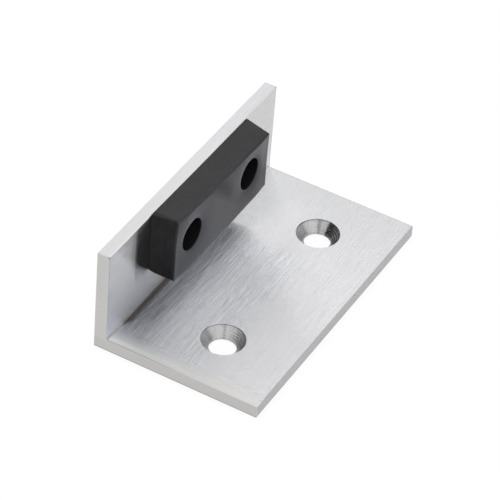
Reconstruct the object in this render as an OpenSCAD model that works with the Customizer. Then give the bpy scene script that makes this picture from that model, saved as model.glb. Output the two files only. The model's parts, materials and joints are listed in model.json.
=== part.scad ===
// Angle door stop: a short length of aluminium angle that is screwed to the floor,
// with a rubber buffer held on its upright leg by two sunk screws.
// +X runs along the angle, the upright stands at +Y, and the underside lies on Z = 0.

/* [Angle] */
// Length of the angle
angle_len = 70; // [60:1:110]
// Width of the base, out to the back of the upright
base_w = 40; // [34:1:60]
// Height of the upright above the floor
upright_h = 26; // [24:1:40]
// Thickness of the base
base_t = 3; // [2.8:0.1:5]
// Thickness of the upright
upright_t = 3; // [2.5:0.1:5]
// Radius in the inner corner between the legs
inner_r = 0.6; // [0.3:0.1:3]
// Radius of the section's outer edges
edge_r = 0.2; // [0.1:0.05:0.8]

/* [Floor holes] */
// Distance between the two floor holes
floor_hole_gap = 41.7; // [34:0.1:46]
// Distance of the floor holes from the free edge of the base
floor_hole_inset = 16.5; // [8:0.1:20]
// Diameter of the floor holes
floor_hole_d = 6.1; // [4:0.1:7]
// Outer diameter of the countersinks
sink_d = 9.8; // [8.5:0.1:11]
// Full angle of the countersinks
sink_angle = 90; // [82:1:100]

/* [Rubber buffer] */
// Thickness of the rubber, out from the upright
rubber_t = 6.45; // [6:0.05:10]
// Length of the rubber along the upright, at its front
rubber_len = 39; // [34:0.1:50]
// Height of the rubber at its left end, against the upright
rubber_h = 15.85; // [12:0.05:20]
// Height of the rubber's top left edge above the top of the upright
rubber_rise = 0.35; // [-2:0.05:1]
// Distance of the rubber's middle to the right of the angle's middle
rubber_shift = 1.2; // [-3:0.05:3]
// Fall of the hand-cut top towards the right end
top_fall = 0.85; // [0:0.05:1.5]
// Further fall of the top at the right end, from the upright to the front
top_cut_lean = 0.45; // [0:0.05:1]
// Lean of the cut down the left end, shorter at the front
left_cut_lean = 0.25; // [0:0.05:1.6]
// Lean of the cut at the top of the right end, shorter at the front
right_cut_lean = 1.3; // [0:0.05:1.6]
// Radius of the rubber's edges
rubber_edge_r = 0.15; // [0.1:0.05:0.8]

/* [Rubber screws] */
// Distance between the two screws that hold the rubber
screw_gap = 24.4; // [16:0.1:28]
// Distance of the screws' middle to the right of the angle's middle
screw_shift = 0.4; // [-2:0.05:2]
// Distance of the screws below the top of the upright
screw_drop = 6.9; // [6:0.1:9]
// Diameter of the screws' thread
screw_d = 4; // [3:0.1:4.5]
// Diameter of the screws' cheese heads
head_d = 6.9; // [6:0.1:8]
// Height of the screws' heads
head_h = 2.4; // [2:0.1:3]
// Thickness of rubber that is clamped under each head
clamped_t = 1.3; // [1:0.1:2]
// Distance of each screw's end inside the outer face of the upright
end_inset = 0.2; // [0:0.1:0.6]
// Gap between a head and the wall of its recess in the rubber
head_clearance = 0.3; // [0.1:0.05:0.6]
// Gap round a shank in the rubber
shank_clearance = 0.2; // [0.1:0.05:0.4]
// Gap round a thread in its tapped hole
thread_clearance = 0.05; // [0.02:0.01:0.1]

/* [Hidden] */

// How far a cut runs past the surface that it opens
overrun = 0.5;
// Faces round a bore and round a small edge
$fn = 96;
edge_faces = 16;

// Faces of the angle in the part's frame
back_y = base_w / 2;
free_y = -base_w / 2;
upright_y = back_y - upright_t;
floor_hole_y = free_y + floor_hole_inset;
sink_depth = (sink_d - floor_hole_d) / 2 / tan(sink_angle / 2);

// Faces of the rubber in the part's frame
rubber_left_x = rubber_shift - rubber_len / 2;
rubber_right_x = rubber_shift + rubber_len / 2;
rubber_front_y = upright_y - rubber_t;
rubber_top_z = upright_h + rubber_rise;
rubber_bottom_z = rubber_top_z - rubber_h;
right_back_top_z = rubber_top_z - top_fall;
right_front_top_z = right_back_top_z - top_cut_lean;

// Places of the screws that hold the rubber
screw_left_x = screw_shift - screw_gap / 2;
screw_right_x = screw_shift + screw_gap / 2;
screw_z = upright_h - screw_drop;
head_seat_y = upright_y - clamped_t;
screw_end_y = back_y - end_inset;
shank_len = screw_end_y - head_seat_y;
recess_d = head_d + 2 * head_clearance;

// Sizes of a screw's head and point, worked out from the head and the thread
head_edge_r = head_h / 8;
end_chamfer = screw_d / 10;
cross_w = head_d / 7;
cross_depth = head_h * 0.6;
cross_top_d = head_d * 0.62;
cross_bottom_d = screw_d / 5;

// The angle's section in the plane of Y and Z, with rounded edges and a filleted corner
module angle_section() {
    difference() {
        union() {
            rounded_bar([free_y, 0], [back_y, base_t]);
            rounded_bar([upright_y, 0], [back_y, upright_h]);
            translate([upright_y - inner_r, base_t - edge_r])
                square([inner_r + edge_r, inner_r + edge_r]);
        }
        translate([upright_y - inner_r, base_t + inner_r]) circle(inner_r);
    }
}

// A bar between two corners with its edges rounded
module rounded_bar(from, to) {
    size = to - from;
    translate(from) {
        translate([edge_r, 0]) square([size.x - 2 * edge_r, size.y]);
        translate([0, edge_r]) square([size.x, size.y - 2 * edge_r]);
        for (x = [edge_r, size.x - edge_r], y = [edge_r, size.y - edge_r])
            translate([x, y]) circle(edge_r);
    }
}

// One countersunk hole through the base, with its axis on Z
module floor_hole() {
    translate([0, 0, -overrun]) cylinder(h = base_t + 2 * overrun, d = floor_hole_d);
    slope = tan(sink_angle / 2);
    translate([0, 0, base_t - sink_depth])
        cylinder(
            h = sink_depth + overrun,
            d1 = floor_hole_d,
            d2 = sink_d + 2 * overrun * slope
        );
}

// Turns what stands on Z to run out of the upright's back, along +Y
module along_y(x, y, z) {
    translate([x, y, z]) rotate([-90, 0, 0]) children();
}

// Tapped hole for a rubber screw, through the upright
module tapped_hole(x) {
    along_y(x, upright_y - overrun, screw_z)
        cylinder(h = upright_t + 2 * overrun, d = screw_d + 2 * thread_clearance);
}

// The length of angle with its floor holes and tapped holes
module angle_plate() {
    color([0.83, 0.84, 0.86]) difference() {
        translate([-angle_len / 2, 0, 0])
            rotate([90, 0, 90]) linear_extrude(angle_len) angle_section();
        for (side = [-1, 1])
            translate([side * floor_hole_gap / 2, floor_hole_y, 0]) floor_hole();
        tapped_hole(screw_left_x);
        tapped_hole(screw_right_x);
    }
}

// Ball that rounds one corner of the rubber, set in from the faces that meet there
module rubber_corner(corner, inward) {
    translate(corner + rubber_edge_r * inward)
        rotate([90, 0, 0]) sphere(rubber_edge_r, $fn = edge_faces);
}

// The hand-cut block, whose top falls to the right and whose ends lean
module rubber_block() {
    back_left_x = rubber_left_x - left_cut_lean;
    back_right_x = rubber_right_x + right_cut_lean;
    hull() {
        rubber_corner([back_left_x, upright_y, rubber_top_z], [1, -1, -1]);
        rubber_corner([back_left_x, upright_y, rubber_bottom_z], [1, -1, 1]);
        rubber_corner([rubber_left_x, rubber_front_y, rubber_top_z], [1, 1, -1]);
        rubber_corner([rubber_left_x, rubber_front_y, rubber_bottom_z], [1, 1, 1]);
        rubber_corner([back_right_x, upright_y, right_back_top_z], [-1, -1, -1]);
        rubber_corner([rubber_right_x, upright_y, rubber_bottom_z], [-1, -1, 1]);
        rubber_corner([rubber_right_x, rubber_front_y, right_front_top_z], [-1, 1, -1]);
        rubber_corner([rubber_right_x, rubber_front_y, rubber_bottom_z], [-1, 1, 1]);
    }
}

// Stepped hole in the rubber: a recess for the head, and a smaller hole for the shank
module rubber_hole(x) {
    along_y(x, rubber_front_y - overrun, screw_z)
        cylinder(h = rubber_t - clamped_t + overrun, d = recess_d);
    along_y(x, rubber_front_y, screw_z)
        cylinder(h = rubber_t + overrun, d = screw_d + 2 * shank_clearance);
}

// The rubber that the door meets, with the sunk holes for its screws
module rubber_buffer() {
    color([0.2, 0.2, 0.21]) difference() {
        rubber_block();
        rubber_hole(screw_left_x);
        rubber_hole(screw_right_x);
    }
}

// Half the outline of a screw, from the middle of its head to its chamfered end
module screw_profile() {
    polygon([
        [0, 0],
        [head_d / 2 - head_edge_r, 0],
        [head_d / 2, head_edge_r],
        [head_d / 2, head_h],
        [screw_d / 2, head_h],
        [screw_d / 2, head_h + shank_len - end_chamfer],
        [screw_d / 2 - end_chamfer, head_h + shank_len],
        [0, head_h + shank_len]
    ]);
}

// Cross recess that narrows towards its floor, cut down from the top of a head
module cross_recess() {
    intersection() {
        translate([0, 0, -overrun])
            cylinder(h = cross_depth + overrun, d1 = cross_top_d, d2 = cross_bottom_d);
        for (turn = [0, 90])
            rotate([0, 0, turn])
                translate([-head_d / 2, -cross_w / 2, -overrun])
                    cube([head_d, cross_w, cross_depth + overrun]);
    }
}

// Cheese-head screw with its head down its recess and its end in the upright
module rubber_screw(x, turn) {
    color([0.62, 0.63, 0.65])
        along_y(x, head_seat_y - head_h, screw_z)
            rotate([0, 0, turn]) difference() {
                rotate_extrude() screw_profile();
                cross_recess();
            }
}

// Turns at which the two screws came tight
left_turn = 20;
right_turn = 65;

module rubber_screw_left() {
    rubber_screw(screw_left_x, left_turn);
}

module rubber_screw_right() {
    rubber_screw(screw_right_x, right_turn);
}

angle_plate();
rubber_buffer();
rubber_screw_left();
rubber_screw_right();
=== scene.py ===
"""The finished look of the angle door stop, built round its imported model."""

import json
import logging
import math
from collections.abc import Iterable, Mapping, Sequence
from dataclasses import dataclass, field
from enum import Enum

import bmesh
import bpy
from mathutils import Matrix, Vector, noise


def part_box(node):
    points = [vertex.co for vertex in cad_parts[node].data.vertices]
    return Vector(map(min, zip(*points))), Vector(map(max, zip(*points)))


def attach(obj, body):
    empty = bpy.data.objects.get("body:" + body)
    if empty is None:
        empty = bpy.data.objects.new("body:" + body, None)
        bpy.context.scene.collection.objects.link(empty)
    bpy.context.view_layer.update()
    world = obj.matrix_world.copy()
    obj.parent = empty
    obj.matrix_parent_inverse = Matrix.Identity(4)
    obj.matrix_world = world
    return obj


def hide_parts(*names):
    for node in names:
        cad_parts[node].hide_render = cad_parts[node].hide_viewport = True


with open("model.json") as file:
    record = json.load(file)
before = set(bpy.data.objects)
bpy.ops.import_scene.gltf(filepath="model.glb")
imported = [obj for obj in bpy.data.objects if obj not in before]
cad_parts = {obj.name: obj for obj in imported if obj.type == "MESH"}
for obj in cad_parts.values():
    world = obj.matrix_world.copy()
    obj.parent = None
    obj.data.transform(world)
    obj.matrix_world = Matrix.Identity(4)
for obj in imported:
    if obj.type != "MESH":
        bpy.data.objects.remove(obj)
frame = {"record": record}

LOG = logging.getLogger("door_stop")
MM = 0.001
BODY = "root"


class Axis(Enum):
    """The direction in which a hole runs."""

    UP = "up"
    BACK = "back"


class Slot(Enum):
    """The record's material slots."""

    ALUMINIUM = "satin_aluminium"
    RUBBER = "black_rubber"
    STEEL = "zinc_steel"


@dataclass(frozen=True)
class Signal:
    """A shader socket that takes part in Python sums."""

    board: "Board"
    socket: bpy.types.NodeSocket

    def __add__(self, other: "Signal | float") -> "Signal":
        """The sum of two values."""
        return self.board.math("ADD", self, other)

    __radd__ = __add__

    def __sub__(self, other: "Signal | float") -> "Signal":
        """This value less another."""
        return self.board.math("SUBTRACT", self, other)

    def __rsub__(self, other: float) -> "Signal":
        """A number less this value."""
        return self.board.math("SUBTRACT", other, self)

    def __mul__(self, other: "Signal | float") -> "Signal":
        """The product of two values."""
        return self.board.math("MULTIPLY", self, other)

    __rmul__ = __mul__

    def __truediv__(self, other: "Signal | float") -> "Signal":
        """This value over another."""
        return self.board.math("DIVIDE", self, other)

    def __gt__(self, other: "Signal | float") -> "Signal":
        """One where this value is the larger, and zero elsewhere."""
        return self.board.math("GREATER_THAN", self, other)

    def __lt__(self, other: "Signal | float") -> "Signal":
        """One where this value is the smaller, and zero elsewhere."""
        return self.board.math("LESS_THAN", self, other)

    def __abs__(self) -> "Signal":
        """This value without its sign."""
        return self.board.math("ABSOLUTE", self)


class Board:
    """The node tree of one material or world."""

    def __init__(self, tree: bpy.types.NodeTree) -> None:
        """Clears a tree to build on."""
        self.tree = tree
        self.tree.nodes.clear()

    def add(
        self,
        kind: str,
        settings: Mapping[str, object] | None = None,
        inputs: Mapping[str | int, object] | None = None,
    ) -> bpy.types.Node:
        """Adds a node.

        Args:
            kind: The node's type.
            settings: The node's own settings, and a ramp's stops under "stops".
            inputs: A value, a signal or a socket for each input by name or number.

        Returns:
            The new node.
        """
        node = self.tree.nodes.new(kind)
        for name, value in (settings or {}).items():
            if name == "stops":
                self._set_stops(node.color_ramp, value)
            else:
                setattr(node, name, value)
        for key, value in (inputs or {}).items():
            self._feed(node.inputs[key], value)
        return node

    def _feed(self, target: bpy.types.NodeSocket, value: object) -> None:
        """Links a signal or socket to an input, or sets its value."""
        if isinstance(value, Signal):
            value = value.socket
        if isinstance(value, bpy.types.NodeSocket):
            self.tree.links.new(value, target)
        elif target.type == "RGBA":
            target.default_value = (*value[:3], 1.0)
        else:
            target.default_value = value

    @staticmethod
    def _set_stops(ramp: bpy.types.ColorRamp, stops: Sequence[tuple[float, float]]) -> None:
        """Gives a ramp its stops, each a place and a grey."""
        while len(ramp.elements) < len(stops):
            ramp.elements.new(1.0)
        for element, (place, grey) in zip(ramp.elements, stops):
            element.position = place
            element.color = (grey, grey, grey, 1.0)

    def signal(self, node: bpy.types.Node, output: str | int = 0) -> Signal:
        """One output of a node as a signal."""
        return Signal(self, node.outputs[output])

    def math(self, operation: str, *values: Signal | float) -> Signal:
        """A Math node on one to three values."""
        inputs = dict(enumerate(values))
        return self.signal(self.add("ShaderNodeMath", {"operation": operation}, inputs))

    def vector(self, operation: str, inputs: Mapping[str | int, object]) -> Signal:
        """A Vector Math node's vector."""
        return self.signal(self.add("ShaderNodeVectorMath", {"operation": operation}, inputs))

    def parts(self, vector: Signal) -> tuple[Signal, Signal, Signal]:
        """The three parts of a vector."""
        node = self.add("ShaderNodeSeparateXYZ", inputs={0: vector})
        return tuple(self.signal(node, index) for index in range(3))

    def millimetres(self) -> Signal:
        """The place on the object, in millimetres."""
        place = self.add("ShaderNodeTexCoord").outputs["Object"]
        return self.vector("SCALE", {0: place, "Scale": 1.0 / MM})

    def grain(self, place: Signal, stretch: Sequence[float], detail: float = 2.0) -> Signal:
        """Noise whose cells are stretched.

        Args:
            place: Where to read it.
            stretch: How many cells there are for each unit along X, Y and Z.
            detail: How many finer layers lie on the first.

        Returns:
            A value from 0 to 1.
        """
        scaled = self.vector("MULTIPLY", {0: place, 1: tuple(stretch)})
        settings = {"noise_dimensions": "3D"}
        inputs = {"Vector": scaled, "Scale": 1.0, "Detail": detail, "Roughness": 0.6}
        return self.signal(self.add("ShaderNodeTexNoise", settings, inputs))

    def ramp(self, value: Signal, stops: Sequence[tuple[float, float]]) -> Signal:
        """A value led through grey stops."""
        node = self.add("ShaderNodeValToRGB", {"stops": stops}, {0: value})
        return self.signal(node)

    def blend(self, share: Signal | float, first: object, second: object) -> Signal:
        """A colour between two colours."""
        settings = {"data_type": "RGBA", "clamp_factor": True}
        inputs = {0: share, 6: first, 7: second}
        return self.signal(self.add("ShaderNodeMix", settings, inputs), 2)

    def choose(self, share: Signal | float, first: object, second: object) -> Signal:
        """A number between two numbers."""
        settings = {"data_type": "FLOAT", "clamp_factor": True}
        return self.signal(self.add("ShaderNodeMix", settings, {0: share, 2: first, 3: second}))

    def shader(self, inputs: Mapping[str | int, object]) -> bpy.types.NodeSocket:
        """A Principled shader's output."""
        return self.add("ShaderNodeBsdfPrincipled", inputs=inputs).outputs[0]

    def layered(
        self,
        ground: bpy.types.NodeSocket,
        layers: Sequence[tuple[Signal, bpy.types.NodeSocket]],
    ) -> None:
        """Ends a material in a shader with others laid over it.

        Args:
            ground: The shader that lies everywhere.
            layers: Where each further shader lies, and the shader.
        """
        shown = ground
        for share, shader in layers:
            shown = self.add("ShaderNodeMixShader", inputs={0: share, 1: shown, 2: shader}).outputs[0]
        self.add("ShaderNodeOutputMaterial", inputs={"Surface": shown})


def new_material(name: str) -> tuple[bpy.types.Material, Board]:
    """An empty material and the board of its nodes."""
    material = bpy.data.materials.new(name)
    material.use_nodes = True
    return material, Board(material.node_tree)


def within(board: Board, across: Signal, along: Signal, reach: float) -> Signal:
    """One closer to a line than a reach, and zero elsewhere."""
    gap = board.math("SQRT", across * across + along * along)
    return gap < (reach / MM)


@dataclass(frozen=True)
class BrushedAluminium:
    """Extruded aluminium, brushed along X, with sawn ends and turned holes."""

    half_length: float
    free_edge: float
    upright: float
    high_top: float
    root: tuple[float, float]
    hole_axes: tuple[tuple[float, float], ...]
    hole_reach: float
    ridge: tuple[float, float, float] = (0.925, 0.915, 0.905)
    shaded_ridge: tuple[float, float, float] = (0.865, 0.885, 0.94)
    groove: tuple[float, float, float] = (0.41, 0.422, 0.455)
    bare_and_lit: tuple[float, float, float] = (0.95, 0.955, 0.97)
    pale: tuple[float, float, float] = (0.77, 0.777, 0.80)
    end_highlight: tuple[float, float, float] = (0.92, 0.918, 0.915)
    end_highlight_dim: tuple[float, float, float] = (0.60, 0.595, 0.585)
    sawn: tuple[float, float, float] = (0.56, 0.552, 0.538)
    # painted shade: the free edge's darker tone stands in for the floor's contact shadow that it reflects
    rolled: tuple[float, float, float] = (0.44, 0.442, 0.45)
    painted_shade_blue: tuple[float, float, float] = (0.775, 0.795, 0.845)
    painted_root_shade: tuple[float, float, float] = (0.20, 0.188, 0.172)
    fillet_shade: tuple[float, float, float] = (0.34, 0.325, 0.30)
    bored: tuple[float, float, float] = (0.50, 0.497, 0.505)
    near_black: tuple[float, float, float] = (0.015, 0.015, 0.014)
    painted_low_shade: tuple[float, float, float] = (0.30, 0.298, 0.29)
    base_top: float = 3.0 * MM
    fillet: float = 0.35 * MM
    covered: tuple[float, float] = (-27.0, 21.0)
    wedge: float = 0.55
    shaded_right: float = 13.0
    far_shades: tuple[tuple[float, float], ...] = (
        (-180, 0.92), (-112, 0.72), (-98, 0.55), (-60, 0.46), (-38, 0.34), (-8, 0.12), (0, 0.90),
        (16, 0.80), (25, 0.45), (32, 0.90), (45, 1.0), (66, 0.95), (80, 0.58), (93, 0.72),
        (130, 1.0), (180, 0.92),
    )
    near_shades: tuple[tuple[float, float], ...] = (
        (-180, 0.86), (-110, 0.78), (-60, 0.80), (-20, 0.74), (3, 0.84), (18, 0.96), (25, 0.62),
        (32, 0.94), (45, 1.0), (68, 0.92), (80, 0.50), (95, 0.70), (130, 0.96), (180, 0.86),
    )
    ringed: tuple[tuple[float, float], ...] = (
        (-180, 0.6), (-110, 0.7), (-60, 1.0), (-20, 1.0), (8, 0.15), (74, 0.15), (90, 0.6), (180, 0.6),
    )
    sheen: float = 0.23
    stretch: float = 1.0
    across_grain: float = 0.25
    micro_tilt: float = 2.3
    fine_tilt: float = 0.5
    broad_tilt: float = 0.2
    speck_reach: float = 0.55 * MM

    def dressed(self) -> bpy.types.Material:
        """Builds the material.

        Returns:
            The material for the angle.
        """
        material, board = new_material("brushed_aluminium")
        place = board.millimetres()
        x, y, z = board.parts(place)
        root_y, root_z = (value / MM for value in self.root)
        sawn = abs(x) > (self.half_length / MM - 0.25)
        # painted shade: a dark strip and fillet along the upright's root, where the rubber is reflected;
        # the strip narrows at the left
        ragged = board.grain(place, (0.15, 2.0, 2.0)) - 0.5
        left, right = self.covered
        taper = board.math("MAXIMUM", left - x, 0.0) * self.wedge
        covered = board.ramp(right - x, ((0.0, 0.0), (1.0, 1.0)))
        above = board.ramp((y + ragged * 0.6 - taper - root_y) * 1.2, ((0.0, 0.0), (1.0, 1.0)))
        inside = (y < self.upright / MM + 0.2) * (z > self.base_top / MM - 0.1)
        root = above * covered * (z < root_z) * inside
        fillet_y = self.upright / MM - self.fillet / MM * 0.92
        fillet_shade = (y > fillet_y) * (z < (self.base_top + self.fillet * 0.92) / MM) * covered
        fillet_shade = fillet_shade * inside
        tip = board.ramp(taper, ((0.6, 0.0), (1.0, 1.0)))
        to_end = self.half_length / MM - abs(x)
        # painted highlight along the base's left end, fading away from the end
        end_highlight_share = board.ramp(
            to_end / 8.0, ((0.0, 1.0), (0.14, 0.95), (0.25, 0.62), (0.4, 0.36), (0.6, 0.12), (0.9, 0.0))
        )
        end_highlight_share = end_highlight_share * (x < 0.0) * inside * (z < self.base_top / MM + 0.02)
        corner = (abs(x) - self.half_length / MM, y - self.upright / MM, z - self.high_top / MM)
        gap = board.math("SQRT", sum(part * part for part in corner))
        corner_specks = gap + board.grain(place, (3.0, 3.0, 3.0)) * 0.4 < (self.speck_reach / MM)
        bored: Signal | float = 0.0
        for hole_x, hole_y in self.hole_axes:
            bored = bored + within(board, x - hole_x / MM, y - hole_y / MM, self.hole_reach)
        bored = bored * (z > 0.05)
        board.layered(
            self._brushed(board, place, x, y, z),
            (
                (end_highlight_share, self._painted_end_highlight(board, place, y)),
                (root, self._painted_root_strip(board, place)),
                (fillet_shade, self._shaded_fillet(board, place, tip)),
                (bored, self._turned(board, place, x, y, z)),
                (sawn, self._sawn(board, place, z)),
                (corner_specks, self._corner_specks(board, place)),
            ),
        )
        return material

    def _brushed(
        self, board: Board, place: Signal, x: Signal, y: Signal, z: Signal
    ) -> bpy.types.NodeSocket:
        """The long faces, with the grain along X."""
        micro = board.grain(place, (9.0, 40.0, 40.0), 0.0)
        fine = board.grain(place, (0.16, 3.0, 3.0), 2.0)
        broad = board.grain(place, (0.05, 1.1, 1.1), 1.0)
        cloud = board.grain(place, (0.05, 0.12, 0.12), 2.0)
        on_base = (z < self.base_top / MM + 0.02) * (z > self.base_top / MM - 0.1)
        on_base = on_base * (y < self.upright / MM)
        # painted shade zone in front of the rubber: stronger streaks and a cooler tone where the base
        # reflects it
        shaded = board.ramp((y + 20.0) / 40.0, ((0.3, 0.0), (0.65, 1.0)))
        shaded = shaded * board.ramp((self.shaded_right - x) / 4.0, ((0.0, 0.0), (1.0, 1.0)))
        depth = board.choose(shaded * on_base, 0.45, 2.3)
        worn = 0.5 + (fine - 0.5) * depth + (broad - 0.5) * depth * 0.35
        # painted shade: the free edge face is darkened where it reflects the floor's contact shadow
        rolled = y < (self.free_edge / MM + 0.2)
        inner = (y > self.upright / MM - 0.05) * (y < self.upright / MM + 0.5)
        low = board.ramp((z - self.base_top / MM) / 9.0, ((0.2, 1.0), (1.0, 0.0)))
        leftward = board.ramp(x / self.half_length * MM * -0.5 + 0.5, ((0.3, 0.0), (1.0, 0.75)))
        rightward = board.ramp(x / self.half_length * MM, ((0.2, 0.0), (0.6, 0.35)))
        crest = board.blend(shaded * on_base, self.ridge, self.shaded_ridge)
        tone = board.blend(worn, self.groove, crest)
        # painted light and shade on the inner face: paler towards the left end, a darker, bluer painted
        # shade low down near the base, and painted shade towards the right end
        tone = board.blend(inner * leftward, tone, self.pale)
        tone = board.blend(inner * low * 0.7, tone, self.painted_shade_blue)
        tone = board.blend(inner * rightward, tone, self.sawn)
        # painted light: a paler band across the base from 0 to 11 mm, fading out towards the right end;
        # the upright's top is paler too
        middle = board.ramp(y / 20.0, ((0.0, 0.0), (0.2, 1.0), (0.4, 1.0), (0.55, 0.0)))
        far = board.ramp(x / self.half_length * MM, ((0.3, 0.0), (1.0, 0.14)))
        tone = board.blend(far * on_base, tone, self.groove)
        on_top = z > (self.high_top / MM - 0.15)
        nearer = board.ramp((29.0 - x) / 14.0, ((0.0, 0.0), (1.0, 0.24)))
        tone = board.blend(middle * on_base * nearer + on_top * 0.12, tone, self.bare_and_lit)
        # painted shade: the upright's top darkens towards its left end
        tone = board.blend(on_top * leftward * 0.7, tone, self.sawn)
        tone = board.blend(rolled, tone, self.rolled)
        coarse = (fine - 0.5) * self.fine_tilt + (broad - 0.5) * self.broad_tilt
        rough = board.ramp((y + 20.0) / 40.0, ((0.2, 0.4), (0.65, 1.0)))
        shown = board.choose(on_base, 0.25, rough)
        below_top = z < (self.high_top / MM - 0.15)
        tilt = coarse * shown + (micro - 0.5) * below_top * self.micro_tilt
        dull = board.choose(below_top, 0.1, 0.0)
        return board.shader(
            {
                "Base Color": tone,
                "Metallic": 1.0,
                "Roughness": self.sheen + (broad - 0.5) * 0.06 + (cloud - 0.5) * 0.05 + dull,
                "Anisotropic": self.stretch,
                "Anisotropic Rotation": self.across_grain,
                "Normal": self._tilted(board, tilt),
            }
        )

    def _shaded_fillet(self, board: Board, place: Signal, tip: Signal) -> bpy.types.NodeSocket:
        """The dull fillet, with painted shade, paler at its left end."""
        speck = board.grain(place, (0.4, 4.0, 4.0), 3.0)
        return board.shader(
            {
                "Base Color": board.blend(
                    tip, board.blend(speck, self.painted_root_shade, self.fillet_shade), self.groove
                ),
                "Metallic": 1.0,
                "Roughness": 0.45 + (speck - 0.5) * 0.1,
            }
        )

    def _painted_end_highlight(self, board: Board, place: Signal, y: Signal) -> bpy.types.NodeSocket:
        """The base beside its left end, duller, with a painted highlight that fades to a darker tone
        towards the front.
        """
        fine = board.grain(place, (0.3, 3.0, 3.0), 2.0)
        tone = board.blend((y + 4.0) / 19.0, self.end_highlight_dim, self.end_highlight)
        return board.shader(
            {
                "Base Color": board.blend(fine * 0.15, tone, self.groove),
                "Metallic": 1.0,
                "Roughness": 0.5 + (fine - 0.5) * 0.1,
            }
        )

    def _painted_root_strip(self, board: Board, place: Signal) -> bpy.types.NodeSocket:
        """The strip beside the fillet, with a painted dark reflection of the rubber."""
        fine = board.grain(place, (0.15, 4.0, 4.0), 2.0)
        return board.shader(
            {
                "Base Color": self.painted_root_shade,
                "Metallic": 1.0,
                "Roughness": 0.16 + (fine - 0.5) * 0.08,
                "Anisotropic": 0.6,
                "Anisotropic Rotation": self.across_grain,
                "Normal": self._tilted(board, (fine - 0.5) * 0.08),
            }
        )

    def _turned(
        self, board: Board, place: Signal, x: Signal, y: Signal, z: Signal
    ) -> bpy.types.NodeSocket:
        """The countersinks and drilled walls, with the cutter's rings and chatter, painted light and
        shade in sectors round the axis, and a painted shade on the upper rim.
        """
        hole_x, hole_y = (value / MM for value in self.hole_axes[-1])
        across = x - board.math("SIGN", x) * hole_x
        turn = board.math("ARCTAN2", y - hole_y, across) / math.tau + 0.5
        wander = board.grain(place, (0.5, 0.5, 0.5))
        rings = board.math("SINE", z * 15.0 + wander * 4.0)
        hair = board.grain(place, (1.0, 1.0, 7.0), 2.0)
        chatter = board.grain(place, (1.8, 1.8, 0.25), 3.0)
        ringed = self._painted_sectors(board, turn, self.ringed)
        rings = rings * ringed
        height = rings * 0.6 + hair * 2.0 + chatter * 2.0
        bump = board.add(
            "ShaderNodeBump", inputs={"Strength": 0.8, "Distance": 0.04 * MM, "Height": height}
        )
        shades = board.choose(
            x > 0.0, self._painted_sectors(board, turn, self.near_shades), self._painted_sectors(board, turn, self.far_shades)
        )
        # painted light and shade: sector shades, with ring lines strongest in the ringed sectors, and a
        # painted shade on the upper rim
        lit = shades + rings * 0.14 + (hair - 0.5) * ringed * 0.9 + (chatter - 0.5) * 0.45
        lit = lit * (1.0 - (z > (self.base_top / MM - 0.36)) * ringed * 0.4)
        return board.shader(
            {
                "Base Color": board.blend(lit, self.near_black, self.bored),
                "Metallic": 1.0,
                "Roughness": 0.30 + (chatter - 0.5) * 0.1,
                "Normal": bump.outputs[0],
            }
        )

    @staticmethod
    def _painted_sectors(board: Board, turn: Signal, shades: Sequence[tuple[float, float]]) -> Signal:
        """A countersink's painted light and shade round its axis, from stops in degrees."""
        return board.ramp(turn, [((degrees + 180) / 360, grey) for degrees, grey in shades])

    def _corner_specks(self, board: Board, place: Signal) -> bpy.types.NodeSocket:
        """Dark specks at the inner top corners."""
        speck = board.grain(place, (4.0, 4.0, 4.0), 2.0)
        return board.shader(
            {
                "Base Color": board.blend(speck, self.near_black, self.sawn),
                "Metallic": 1.0,
                "Roughness": 0.45 + (speck - 0.5) * 0.2,
            }
        )

    def _sawn(self, board: Board, place: Signal, z: Signal) -> bpy.types.NodeSocket:
        """The two ends, with the saw's fine marks and a painted shade along the bottom edge, fainter over
        the base's height.
        """
        marks = board.grain(place, (3.0, 2.2, 0.5), 3.0)
        cloud = board.grain(place, (0.2, 0.2, 0.2), 2.0)
        bump = board.add(
            "ShaderNodeBump", inputs={"Strength": 0.5, "Distance": 0.02 * MM, "Height": marks}
        )
        tone = board.blend(cloud * 0.5, self.sawn, self.bored)
        return board.shader(
            {
                "Base Color": board.blend((z < 0.22) + (z < 3.0) * 0.12, tone, self.painted_low_shade),
                "Metallic": 1.0,
                "Roughness": 0.42,
                "Normal": bump.outputs[0],
            }
        )

    @staticmethod
    def _tilted(board: Board, tilt: Signal) -> Signal:
        """The normal, leant across the grain by small amounts."""
        normal = board.signal(board.add("ShaderNodeNewGeometry"), "Normal")
        across = board.vector("CROSS_PRODUCT", {0: normal, 1: (1.0, 0.0, 0.0)})
        lean = board.vector("SCALE", {0: across, "Scale": tilt})
        leant = board.vector("ADD", {0: normal, 1: lean})
        return board.vector("NORMALIZE", {0: leant})


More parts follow.
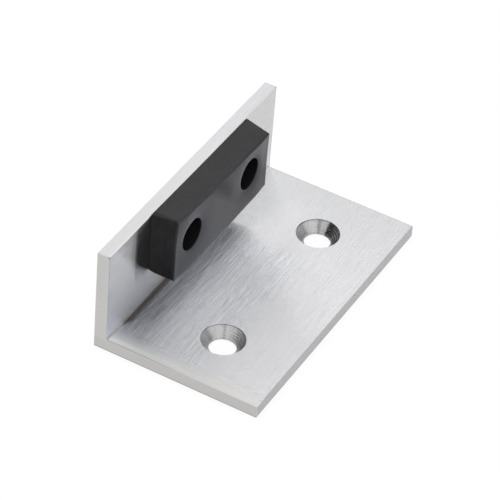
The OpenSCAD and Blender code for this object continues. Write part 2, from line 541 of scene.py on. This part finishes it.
@dataclass(frozen=True)
class CutRubber:
    """Black rubber with a moulded front skin and knife-cut sides."""

    front: float
    left_end: float
    hole_axes: tuple[tuple[float, float], ...]
    hole_reach: float
    skin: tuple[float, float, float] = (0.001, 0.001, 0.003)
    hazy: tuple[float, float, float] = (0.008, 0.008, 0.015)
    cut: tuple[float, float, float] = (0.002, 0.002, 0.002)
    bloom: tuple[float, float, float] = (0.015, 0.015, 0.0155)
    deep: tuple[float, float, float] = (0.0015, 0.0015, 0.0015)
    tint: tuple[float, float, float] = (0.90, 0.91, 1.0)

    def dressed(self) -> bpy.types.Material:
        """Builds the material.

        Returns:
            The material for the buffer.
        """
        material, board = new_material("cut_rubber")
        place = board.millimetres()
        x, y, z = board.parts(place)
        far = board.ramp(x / 20.0, ((0.0, 0.0), (0.5, 1.0)))
        punched: Signal | float = 0.0
        for hole_x, hole_z in self.hole_axes:
            punched = punched + within(board, x - hole_x / MM, z - hole_z / MM, self.hole_reach)
        board.layered(
            self._cut(board, place, (0.5, 4.0, 4.0), 0.35),
            (
                (x < (self.left_end / MM + 1.2), self._cut(board, place, (4.0, 3.0, 0.3), 0.19)),
                (y < (self.front / MM + 0.35), self._moulded(board, place, 0.42)),
                ((y < (self.front / MM + 0.35)) * far, self._moulded(board, place, 0.33)),
                (punched, self._punched(board, place)),
            ),
        )
        return material

    def _punched(self, board: Board, place: Signal) -> bpy.types.NodeSocket:
        """The dull walls and floors of the punched holes."""
        speck = board.grain(place, (4.0, 4.0, 4.0), 3.0)
        return board.shader(
            {
                "Base Color": board.blend(speck, self.deep, self.cut),
                "Roughness": 0.55 + (speck - 0.5) * 0.2,
                "Specular IOR Level": 0.16,
            }
        )

    def _moulded(self, board: Board, place: Signal, shine: float) -> bpy.types.NodeSocket:
        """The front, with the smooth skin of the mould."""
        speck = board.grain(place, (2.5, 2.5, 2.5), 3.0)
        cloud = board.grain(place, (0.25, 0.25, 0.25), 3.0)
        bump = board.add(
            "ShaderNodeBump", inputs={"Strength": 0.3, "Distance": 0.02 * MM, "Height": speck}
        )
        return board.shader(
            {
                "Base Color": board.blend(
                    board.ramp(cloud, ((0.3, 0.0), (0.7, 1.0))), self.skin, self.hazy
                ),
                "Roughness": 0.24 + (cloud - 0.5) * 0.2,
                "Specular IOR Level": shine,
                "Specular Tint": self.tint,
                "Normal": bump.outputs[0],
            }
        )

    def _cut(
        self, board: Board, place: Signal, marks: Sequence[float], shine: float
    ) -> bpy.types.NodeSocket:
        """A knife-cut side.

        Args:
            board: The material's nodes.
            place: The place on the object.
            marks: How many knife marks there are for each millimetre along X, Y and Z.
            shine: How strongly the side reflects.

        Returns:
            The shader.
        """
        speck = board.grain(place, (5.0, 5.0, 5.0), 3.0)
        cloud = board.grain(place, (0.25, 0.25, 0.25), 3.0)
        knife = board.grain(place, marks, 2.0)
        dusty = board.ramp(cloud * 0.3 + speck * 0.2 + knife * 0.5, ((0.38, 0.0), (0.68, 1.0)))
        bump = board.add(
            "ShaderNodeBump",
            inputs={"Strength": 0.6, "Distance": 0.03 * MM, "Height": speck * 0.5 + knife},
        )
        return board.shader(
            {
                "Base Color": board.blend(dusty, self.cut, self.bloom),
                "Roughness": 0.30 + (speck - 0.5) * 0.1 + (knife - 0.5) * 0.15,
                "Specular IOR Level": shine,
                "Normal": bump.outputs[0],
            }
        )


@dataclass(frozen=True)
class ZincSteel:
    """Zinc-plated steel with a light grain."""

    bright: tuple[float, float, float] = (0.62, 0.63, 0.65)
    dull: tuple[float, float, float] = (0.50, 0.51, 0.53)

    def dressed(self) -> bpy.types.Material:
        """Builds the material.

        Returns:
            The material for the screws.
        """
        material, board = new_material("zinc_steel")
        place = board.millimetres()
        speck = board.grain(place, (3.0, 3.0, 3.0), 3.0)
        bump = board.add(
            "ShaderNodeBump", inputs={"Strength": 0.4, "Distance": 0.01 * MM, "Height": speck}
        )
        plating = board.shader(
            {
                "Base Color": board.blend(speck, self.dull, self.bright),
                "Metallic": 1.0,
                "Roughness": 0.28 + speck * 0.12,
                "Normal": bump.outputs[0],
            }
        )
        board.layered(plating, ())
        return material


def finished_object(name: str, shape: bmesh.types.BMesh) -> bpy.types.Object:
    """Turns a bmesh into a linked object.

    Args:
        name: The object's name.
        shape: The bmesh, which is freed.

    Returns:
        The new object.
    """
    mesh = bpy.data.meshes.new(name)
    shape.to_mesh(mesh)
    shape.free()
    piece = bpy.data.objects.new(name, mesh)
    bpy.context.scene.collection.objects.link(piece)
    return piece


def turned_solid(
    name: str,
    outline: Sequence[tuple[float, float]],
    centre: Vector,
    axis: Axis,
    steps: int = 96,
) -> bpy.types.Object:
    """Spins an outline into a closed solid.

    Args:
        name: The object's name.
        outline: Radius and height of each point, from one end of the axis to the other.
        centre: The place on the axis where height is zero.
        axis: Where the height runs.
        steps: How many faces go round.

    Returns:
        The solid.
    """
    shape = bmesh.new()
    points = [shape.verts.new((radius, 0.0, height)) for radius, height in outline]
    edges = [shape.edges.new(pair) for pair in zip(points, points[1:])]
    bmesh.ops.spin(
        shape,
        geom=points + edges,
        cent=(0.0, 0.0, 0.0),
        axis=(0.0, 0.0, 1.0),
        angle=math.tau,
        steps=steps,
        use_merge=True,
    )
    bmesh.ops.remove_doubles(shape, verts=shape.verts, dist=1e-7)
    if axis is Axis.BACK:
        turn = Matrix.Rotation(-math.pi / 2, 3, "X")
        bmesh.ops.rotate(shape, cent=(0.0, 0.0, 0.0), matrix=turn, verts=shape.verts)
    bmesh.ops.translate(shape, vec=centre, verts=shape.verts)
    bmesh.ops.recalc_face_normals(shape, faces=shape.faces)
    return finished_object(name, shape)


def carve(piece: bpy.types.Object, cutters: Iterable[bpy.types.Object]) -> None:
    """Cuts solids out of a piece and removes them.

    Args:
        piece: The piece to cut.
        cutters: The solids that are taken away.
    """
    cutters = list(cutters)
    for cutter in cutters:
        step = piece.modifiers.new("carve", "BOOLEAN")
        step.operation = "DIFFERENCE"
        step.solver = "EXACT"
        step.object = cutter
    graph = bpy.context.evaluated_depsgraph_get()
    carved = bpy.data.meshes.new_from_object(piece.evaluated_get(graph))
    piece.modifiers.clear()
    piece.data = carved
    for cutter in cutters:
        bpy.data.objects.remove(cutter)


def smooth_rounds(piece: bpy.types.Object, limit_deg: float) -> None:
    """Smooths a piece up to an angle, with its large faces kept flat.

    Args:
        piece: The piece to shade.
        limit_deg: The sharpest bend that is still smoothed.
    """
    piece.data.shade_smooth()
    piece.data.set_sharp_from_angle(angle=math.radians(limit_deg))
    weights = piece.modifiers.new("flat_faces", "WEIGHTED_NORMAL")
    weights.keep_sharp = True
    weights.weight = 90


def hang_on_body(
    piece: bpy.types.Object, node: str, material: bpy.types.Material
) -> None:
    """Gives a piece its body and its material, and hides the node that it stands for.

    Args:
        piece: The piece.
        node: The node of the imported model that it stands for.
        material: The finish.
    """
    piece.data.materials.clear()
    piece.data.materials.append(material)
    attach(piece, BODY)
    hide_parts(node)
    LOG.info("%s stands for %s with %d faces", piece.name, node, len(piece.data.polygons))


@dataclass
class AnglePlate:
    """The length of aluminium angle with its floor holes and tapped holes."""

    node: str
    screw_axes: Sequence[Vector]
    wall: float = 3.0 * MM
    inner_radius: float = 0.35 * MM
    edge_radius: float = 0.2 * MM
    end_break: float = 0.05 * MM
    sink_radius: float = 4.9 * MM
    sink_lip: float = 0.4 * MM
    hole_break: float = 0.08 * MM
    tapped_radius: float = 2.05 * MM
    overrun: float = 0.5 * MM
    root_width: float = 1.9 * MM
    root_height: float = 0.3 * MM
    grain_centre: float = 100.0
    low: Vector = field(init=False)
    high: Vector = field(init=False)

    def __post_init__(self) -> None:
        """Reads the node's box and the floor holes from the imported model."""
        self.low, self.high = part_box(self.node)
        mounts = {mount["name"]: mount for mount in frame["record"]["mounts"]}
        holes = mounts["floor_holes"]
        half_gap = holes["dims"]["spacing_x_mm"] * MM / 2
        self.hole_radius = holes["dims"]["hole_r_mm"] * MM
        middle = Vector(holes["pos_m"])
        self.hole_places = [middle + Vector((side * half_gap, 0.0, 0.0)) for side in (-1, 1)]

    @property
    def upright(self) -> float:
        """The Y of the upright's inner face."""
        return self.high.y - self.wall

    def build(self) -> bpy.types.Object:
        """Extrudes, rounds and bores the angle.

        Returns:
            The angle, without its finish.
        """
        shape = bmesh.new()
        outline = [
            (self.low.y, self.low.z),
            (self.high.y, self.low.z),
            (self.high.y, self.high.z),
            (self.upright, self.high.z),
            (self.upright, self.low.z + self.wall),
            (self.low.y, self.low.z + self.wall),
        ]
        ring = [shape.verts.new((self.low.x, y, z)) for y, z in outline]
        section = shape.faces.new(ring)
        drawn = bmesh.ops.extrude_face_region(shape, geom=[section])["geom"]
        moved = [item for item in drawn if isinstance(item, bmesh.types.BMVert)]
        bmesh.ops.translate(shape, vec=(self.high.x - self.low.x, 0.0, 0.0), verts=moved)
        bmesh.ops.recalc_face_normals(shape, faces=shape.faces)
        self._round_long_edges(shape)
        self._break_end_edges(shape)
        plate = finished_object("angle", shape)
        carve(plate, [*self._floor_cutters(), *self._tapped_cutters()])
        smooth_rounds(plate, 35.0)
        self._lay_grain(plate.data)
        return plate

    def _lay_grain(self, mesh: bpy.types.Mesh) -> None:
        """Runs the shader's tangent along X.

        The tangent circles the middle of the texture space, so with that middle far away in
        front it is straight over the whole angle.
        """
        mesh.use_auto_texspace = False
        mesh.texspace_location = (0.0, -self.grain_centre, 0.0)
        mesh.texspace_size = (1.0, 1.0, 1.0)

    def _round_long_edges(self, shape: bmesh.types.BMesh) -> None:
        """Fillets the inner corner and rounds the section's other corners."""
        long_edges = [
            edge for edge in shape.edges if abs(edge.verts[0].co.x - edge.verts[1].co.x) > self.wall
        ]
        inner = [
            edge
            for edge in long_edges
            if (edge.verts[0].co.yz - Vector((self.upright, self.low.z + self.wall))).length < 1e-6
        ]
        outer = [edge for edge in long_edges if edge not in inner]
        for edges, radius, steps in ((inner, self.inner_radius, 10), (outer, self.edge_radius, 5)):
            bevel_edges(shape, edges, radius, steps)

    def _break_end_edges(self, shape: bmesh.types.BMesh) -> None:
        """Takes the sharpness off the two sawn ends."""
        ends = []
        for edge in shape.edges:
            first, second = (vert.co.x for vert in edge.verts)
            at_end = min(abs(first - self.low.x), abs(first - self.high.x)) < 1e-6
            if at_end and abs(first - second) < 1e-6:
                ends.append(edge)
        bevel_edges(shape, ends, self.end_break, 4)

    def _floor_cutters(self) -> list[bpy.types.Object]:
        """The drills with their countersinks, one for each floor hole."""
        sink_floor = self.wall - self.sink_lip - (self.sink_radius - self.hole_radius)
        spare = self.overrun
        outline = [
            (0.0, -spare),
            (self.hole_radius + self.hole_break + spare, -spare),
            (self.hole_radius, self.hole_break),
            (self.hole_radius, sink_floor),
            (self.sink_radius, self.wall - self.sink_lip),
            (self.sink_radius, self.wall - self.hole_break),
            (self.sink_radius + self.hole_break + spare, self.wall + spare),
            (0.0, self.wall + spare),
        ]
        return [
            turned_solid(f"floor_drill_{index}", outline, place, Axis.UP)
            for index, place in enumerate(self.hole_places)
        ]

    def _tapped_cutters(self) -> list[bpy.types.Object]:
        """The drills for the rubber's screws."""
        spare = self.overrun
        outline = [
            (0.0, -spare),
            (self.tapped_radius, -spare),
            (self.tapped_radius, self.wall - self.hole_break),
            (self.tapped_radius + self.hole_break + spare, self.wall + spare),
            (0.0, self.wall + spare),
        ]
        return [
            turned_solid(
                f"tapping_drill_{index}",
                outline,
                Vector((place.x, self.upright, place.z)),
                Axis.BACK,
            )
            for index, place in enumerate(self.screw_axes)
        ]

    def dress(self, plate: bpy.types.Object) -> None:
        """Gives the angle its brushed finish."""
        finish = BrushedAluminium(
            half_length=self.high.x,
            free_edge=self.low.y,
            upright=self.upright,
            high_top=self.high.z,
            root=(self.upright - self.root_width, self.low.z + self.wall + self.root_height),
            hole_axes=tuple((place.x, place.y) for place in self.hole_places),
            hole_reach=self.sink_radius + self.hole_break / 2,
        )
        hang_on_body(plate, self.node, finish.dressed())


def bevel_edges(
    shape: bmesh.types.BMesh, edges: Sequence[bmesh.types.BMEdge], radius: float, steps: int
) -> None:
    """Rounds edges.

    Args:
        shape: The bmesh that holds them.
        edges: The edges.
        radius: How far in the round starts.
        steps: How many faces make the round.
    """
    bmesh.ops.bevel(
        shape,
        geom=list(edges),
        offset=radius,
        offset_type="OFFSET",
        affect="EDGES",
        segments=steps,
        profile=0.5,
        material=-1,
        clamp_overlap=True,
    )


@dataclass
class RubberBuffer:
    """The hand-cut block of rubber with its stepped holes."""

    node: str
    screw_axes: Sequence[Vector]
    top_fall: float = 0.85 * MM
    top_lean: float = 0.45 * MM
    corner_rise: float = 0.2 * MM
    right_lean: float = 1.3 * MM
    right_undercut: float = 0.3 * MM
    notch: float = 0.5 * MM
    notch_reach: float = 0.9 * MM
    left_lean: float = 0.55 * MM
    left_lean_height: float = 3.5 * MM
    edge_radius: float = 0.1 * MM
    recess_radius: float = 3.75 * MM
    shank_radius: float = 2.2 * MM
    clamped: float = 1.3 * MM
    lip: float = 0.15 * MM
    mesh_step: float = 0.6 * MM
    swell: float = 0.3 * MM
    dimple_reach: float = 2.0 * MM
    end_reach: float = 3.0 * MM
    waver: float = 0.08 * MM
    overrun: float = 0.5 * MM
    low: Vector = field(init=False)
    high: Vector = field(init=False)

    def __post_init__(self) -> None:
        """Reads the node's box."""
        self.low, self.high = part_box(self.node)

    def build(self) -> bpy.types.Object:
        """Cuts, bores and wears the block.

        Returns:
            The buffer, without its finish.
        """
        shape = bmesh.new()
        bmesh.ops.create_cube(shape, size=1.0)
        size = self.high - self.low
        bmesh.ops.scale(shape, vec=size, verts=shape.verts)
        bmesh.ops.translate(shape, vec=(self.low + self.high) / 2, verts=shape.verts)
        bevel_edges(shape, shape.edges, self.edge_radius, 3)
        self._slice(shape)
        self._lean_cuts(shape)
        block = finished_object("buffer", shape)
        carve(block, self._cutters())
        self._wear(block)
        block.data.shade_smooth()
        block.data.set_sharp_from_angle(angle=math.radians(50.0))
        return block

    def _slice(self, shape: bmesh.types.BMesh) -> None:
        """Divides the block's faces so that they can bend."""
        for index in range(3):
            normal = Vector((0.0, 0.0, 0.0))
            normal[index] = 1.0
            span = self.high[index] - self.low[index]
            count = round(span / self.mesh_step)
            for step in range(1, count):
                place = self.low.copy()
                place[index] += span * step / count
                bmesh.ops.bisect_plane(
                    shape,
                    geom=shape.verts[:] + shape.edges[:] + shape.faces[:],
                    dist=1e-7,
                    plane_co=place,
                    plane_no=normal,
                )

    def _shares(self, place: Vector) -> tuple[float, float, float]:
        """How far right, in front and up a place lies, each from 0 to 1."""
        size = self.high - self.low
        return (
            (place.x - self.low.x) / size.x,
            (self.high.y - place.y) / size.y,
            (place.z - self.low.z) / size.z,
        )

    def _lean_cuts(self, shape: bmesh.types.BMesh) -> None:
        """Leans the top and the right end as the knife left them."""
        for vert in shape.verts:
            right, front, above = self._shares(vert.co)
            under_top = (self.high.z - vert.co.z) / self.left_lean_height
            corner = Vector((vert.co.x - self.low.x, self.high.y - vert.co.y, vert.co.z - self.low.z))
            vert.co.x += (1 - right) * front * self.left_lean * math.exp(-(under_top**2))
            vert.co.z += self.notch * max(0.0, 1 - corner.length / self.notch_reach)
            vert.co.x -= right * self.right_lean * (1 - above * (1 - front))
            vert.co.x -= right * self.right_undercut * (1 - above) * (1 - front)
            vert.co.z -= above * right * (self.top_fall + self.top_lean * front)
            vert.co.z += above * (1 - right) ** 4 * front * self.corner_rise

    def _cutters(self) -> list[bpy.types.Object]:
        """The stepped punches for the screws."""
        depth = self.high.y - self.low.y
        spare = self.overrun
        turns = [math.radians(15 * step) for step in range(7)]
        lip = [
            (
                self.recess_radius + self.lip * (1 - math.sin(turn)),
                self.lip * (1 - math.cos(turn)),
            )
            for turn in turns
        ]
        outline = [
            (0.0, -spare),
            (self.recess_radius + self.lip, -spare),
            *lip,
            (self.recess_radius, depth - self.clamped),
            (self.shank_radius, depth - self.clamped),
            (self.shank_radius, depth + spare),
            (0.0, depth + spare),
        ]
        return [
            turned_solid(
                f"punch_{index}", outline, Vector((place.x, self.low.y, place.z)), Axis.BACK, 72
            )
            for index, place in enumerate(self.screw_axes)
        ]

    def _wear(self, block: bpy.types.Object) -> None:
        """Lets the front swell round the screws, which hold it in at their rims."""
        for vert in block.data.vertices:
            _, front, _ = self._shares(vert.co)
            place = vert.co.copy()
            vert.co.y += self._sunk(place) * front
            vert.co += self._wavering(place) * min(1.0, front * 4)

    def _sunk(self, place: Vector) -> float:
        """How far the front lies behind its plane at a place, less than zero where it swells."""
        sunk = 0.0
        for axis in self.screw_axes:
            gap = math.hypot(place.x - axis.x, place.z - axis.z) - self.recess_radius
            sunk += self.swell * math.exp(-max(gap, 0.0) / self.dimple_reach)
        to_end = min(place.x - self.low.x, self.high.x - self.right_lean - place.x)
        free = 1 - math.exp(-((to_end / self.end_reach) ** 2))
        return sunk - self.swell * free

    def _wavering(self, place: Vector) -> Vector:
        """The small waver of a cut made by hand."""
        slow = place / (9.0 * MM)
        away = Vector(
            (
                noise.noise(slow + Vector((3.1, 0.0, 0.0))),
                noise.noise(slow + Vector((0.0, 7.3, 0.0))),
                noise.noise(slow + Vector((0.0, 0.0, 5.7))),
            )
        )
        return away * self.waver

    def dress(self, block: bpy.types.Object) -> None:
        """Gives the buffer its rubber finish."""
        finish = CutRubber(
            front=self.low.y,
            left_end=self.low.x,
            hole_axes=tuple((place.x, place.z) for place in self.screw_axes),
            hole_reach=self.recess_radius + self.lip / 3,
        )
        hang_on_body(block, self.node, finish.dressed())


@dataclass
class RubberScrew:
    """One cheese-head screw with its cross recess and its thread."""

    node: str
    turn_deg: float
    thread_radius: float = 2.0 * MM
    head_height: float = 2.4 * MM
    dome: float = 0.3 * MM
    neck: float = 0.15 * MM
    point: float = 0.4 * MM
    pitch: float = 0.7 * MM
    thread_depth: float = 0.32 * MM
    plain: float = 0.9 * MM
    wing_width: float = 1.0 * MM
    wing_reach: float = 2.1 * MM
    wing_floor: float = 0.45 * MM
    wing_taper: float = 0.6
    recess_depth: float = 1.45 * MM
    low: Vector = field(init=False)
    high: Vector = field(init=False)

    def __post_init__(self) -> None:
        """Reads the node's box."""
        self.low, self.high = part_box(self.node)

    @property
    def middle(self) -> Vector:
        """The place on the screw's axis at the top of its head."""
        centre = (self.low + self.high) / 2
        return Vector((centre.x, self.low.y, centre.z))

    def build(self) -> bpy.types.Object:
        """Turns the head and shank, cuts the recess and winds the thread.

        Returns:
            The screw, without its finish.
        """
        head = (self.high.x - self.low.x) / 2
        length = self.high.y - self.low.y
        turns = [math.radians(22.5 * step) for step in range(5)]
        outline = [
            (0.0, 0.0),
            *(
                (
                    head - self.dome * (1 - math.sin(turn)),
                    self.dome * (1 - math.cos(turn)),
                )
                for turn in turns
            ),
            (head, self.head_height),
            (self.thread_radius + self.neck, self.head_height),
            (self.thread_radius, self.head_height + self.neck),
            (self.thread_radius, length - self.point),
            (self.thread_radius - self.point, length),
            (0.0, length),
        ]
        screw = turned_solid(f"{self.node}_turned", outline, self.middle, Axis.BACK, 64)
        carve(screw, [self._wing(0.0), self._wing(90.0), self._groove(length)])
        smooth_rounds(screw, 30.0)
        return screw

    def _wing(self, turn_deg: float) -> bpy.types.Object:
        """One bar of the cross recess, which narrows to its floor."""
        shape = bmesh.new()
        bmesh.ops.create_cube(shape, size=2.0)
        size = (1.0, self.recess_depth, self.wing_width / 2)
        bmesh.ops.scale(shape, vec=size, verts=shape.verts)
        for vert in shape.verts:
            if vert.co.y > 0:
                vert.co.x *= self.wing_floor
                vert.co.z *= self.wing_taper
            else:
                vert.co.x *= self.wing_reach * 2 - self.wing_floor
                vert.co.z *= 2 - self.wing_taper
        turn = Matrix.Rotation(math.radians(self.turn_deg + turn_deg), 3, "Y")
        bmesh.ops.rotate(shape, cent=(0.0, 0.0, 0.0), matrix=turn, verts=shape.verts)
        bmesh.ops.translate(shape, vec=self.middle, verts=shape.verts)
        return finished_object("recess_wing", shape)

    def _groove(self, length: float) -> bpy.types.Object:
        """The thread's groove, wound round the shank from its end."""
        shape = bmesh.new()
        start = self.head_height + self.plain
        turns = (length - start) / self.pitch + 1
        steps = round(turns * 48)
        floor = self.thread_radius - self.thread_depth
        rim = self.thread_radius + self.neck
        half = self.pitch * 0.42
        corners = ((rim, start - half), (floor, start), (rim, start + half))
        ring = [shape.verts.new((radius, 0.0, height)) for radius, height in corners]
        section = shape.faces.new(ring)
        bmesh.ops.spin(
            shape,
            geom=[section, *section.edges, *section.verts],
            cent=(0.0, 0.0, 0.0),
            axis=(0.0, 0.0, 1.0),
            dvec=(0.0, 0.0, self.pitch * turns / steps),
            angle=math.tau * turns,
            steps=steps,
        )
        turn = Matrix.Rotation(-math.pi / 2, 3, "X")
        bmesh.ops.rotate(shape, cent=(0.0, 0.0, 0.0), matrix=turn, verts=shape.verts)
        bmesh.ops.translate(shape, vec=self.middle, verts=shape.verts)
        bmesh.ops.recalc_face_normals(shape, faces=shape.faces)
        return finished_object("thread_groove", shape)

    def dress(self, screw: bpy.types.Object, finish: bpy.types.Material) -> None:
        """Gives the screw its plated finish."""
        hang_on_body(screw, self.node, finish)


@dataclass
class Studio:
    """The white floor, the soft light and the camera."""

    floor_half: float = 2.0
    floor_gap: float = 0.05 * MM
    fill: float = 0.75
    glow: float = 0.85
    shade: float = 0.175
    lamp_size: float = 2.0
    lamp_place: tuple[float, float, float] = (0.2, 0.1, 1.4)
    lamp_power: float = 8.0
    azimuth_deg: float = -63.23
    elevation_deg: float = 40.88
    roll_deg: float = 4.90
    aim: tuple[float, float, float] = (7.37 * MM, 6.19 * MM, 3.0 * MM)
    distance: float = 657.7 * MM
    lens: float = 215.1

    def build(self) -> None:
        """Sets the floor, the world, the lamp and the camera."""
        self._lay_floor()
        self._light_world()
        self._hang_lamp()
        self._place_camera()

    def _seen(self, board: Board) -> Signal:
        """One for rays from the camera, off metal or through glass."""
        path = board.add("ShaderNodeLightPath")
        first = board.math(
            "MAXIMUM",
            board.signal(path, "Is Camera Ray"),
            board.signal(path, "Is Glossy Ray"),
        )
        return board.math("MAXIMUM", first, board.signal(path, "Is Transmission Ray"))

    def _lay_floor(self) -> None:
        """Lays a white floor that keeps a faint shadow."""
        shape = bmesh.new()
        bmesh.ops.create_grid(shape, x_segments=8, y_segments=8, size=self.floor_half)
        bmesh.ops.translate(shape, vec=(0.0, 0.0, -self.floor_gap), verts=shape.verts)
        floor = finished_object("floor", shape)
        material, board = new_material("white_paper")
        paper = board.add("ShaderNodeBsdfDiffuse", inputs={"Color": (0.9, 0.9, 0.9, 1.0)})
        shaded = board.add(
            "ShaderNodeBsdfDiffuse", inputs={"Color": (self.shade,) * 3 + (1.0,)}
        )
        glow = board.add("ShaderNodeEmission", inputs={"Strength": self.glow})
        lit = board.add("ShaderNodeAddShader", inputs={0: shaded.outputs[0], 1: glow.outputs[0]})
        both = board.add(
            "ShaderNodeMixShader", inputs={0: self._seen(board), 1: paper.outputs[0], 2: lit.outputs[0]}
        )
        board.add("ShaderNodeOutputMaterial", inputs={"Surface": both.outputs[0]})
        floor.data.materials.append(material)

    def _light_world(self) -> None:
        """Fills the scene with soft light and a white surround."""
        world = bpy.data.worlds.new("soft_white")
        world.use_nodes = True
        bpy.context.scene.world = world
        board = Board(world.node_tree)
        strength = board.choose(self._seen(board), self.fill, 1.0)
        sky = board.add(
            "ShaderNodeBackground", inputs={"Color": (1.0, 1.0, 1.0, 1.0), "Strength": strength}
        )
        board.add("ShaderNodeOutputWorld", inputs={"Surface": sky.outputs[0]})

    def _hang_lamp(self) -> None:
        """Hangs one wide lamp above and in front."""
        data = bpy.data.lights.new("soft_lamp", "AREA")
        data.size = self.lamp_size
        data.energy = self.lamp_power
        lamp = bpy.data.objects.new("soft_lamp", data)
        bpy.context.scene.collection.objects.link(lamp)
        lamp.location = self.lamp_place
        lamp.rotation_mode = "QUATERNION"
        lamp.rotation_quaternion = (-lamp.location).to_track_quat("-Z", "Y")

    def _place_camera(self) -> None:
        """Stands the camera at the photograph's viewing angle."""
        data = bpy.data.cameras.new("camera")
        data.lens = self.lens
        camera = bpy.data.objects.new("camera", data)
        bpy.context.scene.collection.objects.link(camera)
        turn, rise = math.radians(self.azimuth_deg), math.radians(self.elevation_deg)
        back = Vector(
            (math.sin(turn) * math.cos(rise), -math.cos(turn) * math.cos(rise), math.sin(rise))
        )
        level = (-back).to_track_quat("-Z", "Y").to_matrix()
        rolled = level @ Matrix.Rotation(math.radians(self.roll_deg), 3, "Z")
        camera.location = Vector(self.aim) + back * self.distance
        camera.rotation_mode = "QUATERNION"
        camera.rotation_quaternion = rolled.to_quaternion()
        bpy.context.scene.camera = camera


def screw_places(nodes: Iterable[str]) -> list[Vector]:
    """The middle of each screw, from its node's box."""
    return [sum(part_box(node), Vector()) / 2 for node in nodes]


def main() -> None:
    """Builds every piece in order."""
    logging.basicConfig(level=logging.INFO, format="%(name)s: %(message)s")
    bpy.context.scene.view_settings.view_transform = "Standard"
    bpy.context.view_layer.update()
    screw_nodes = ("rubber_screw_left", "rubber_screw_right")
    axes = screw_places(screw_nodes)

    plate = AnglePlate("angle_plate", axes)
    plate.dress(plate.build())

    buffer = RubberBuffer("rubber_buffer", axes)
    buffer.dress(buffer.build())

    plated = ZincSteel().dressed()
    for node, turn_deg in zip(screw_nodes, (20.0, 65.0)):
        screw = RubberScrew(node, turn_deg)
        screw.dress(screw.build(), plated)

    Studio().build()


if __name__ == "__main__":
    main()
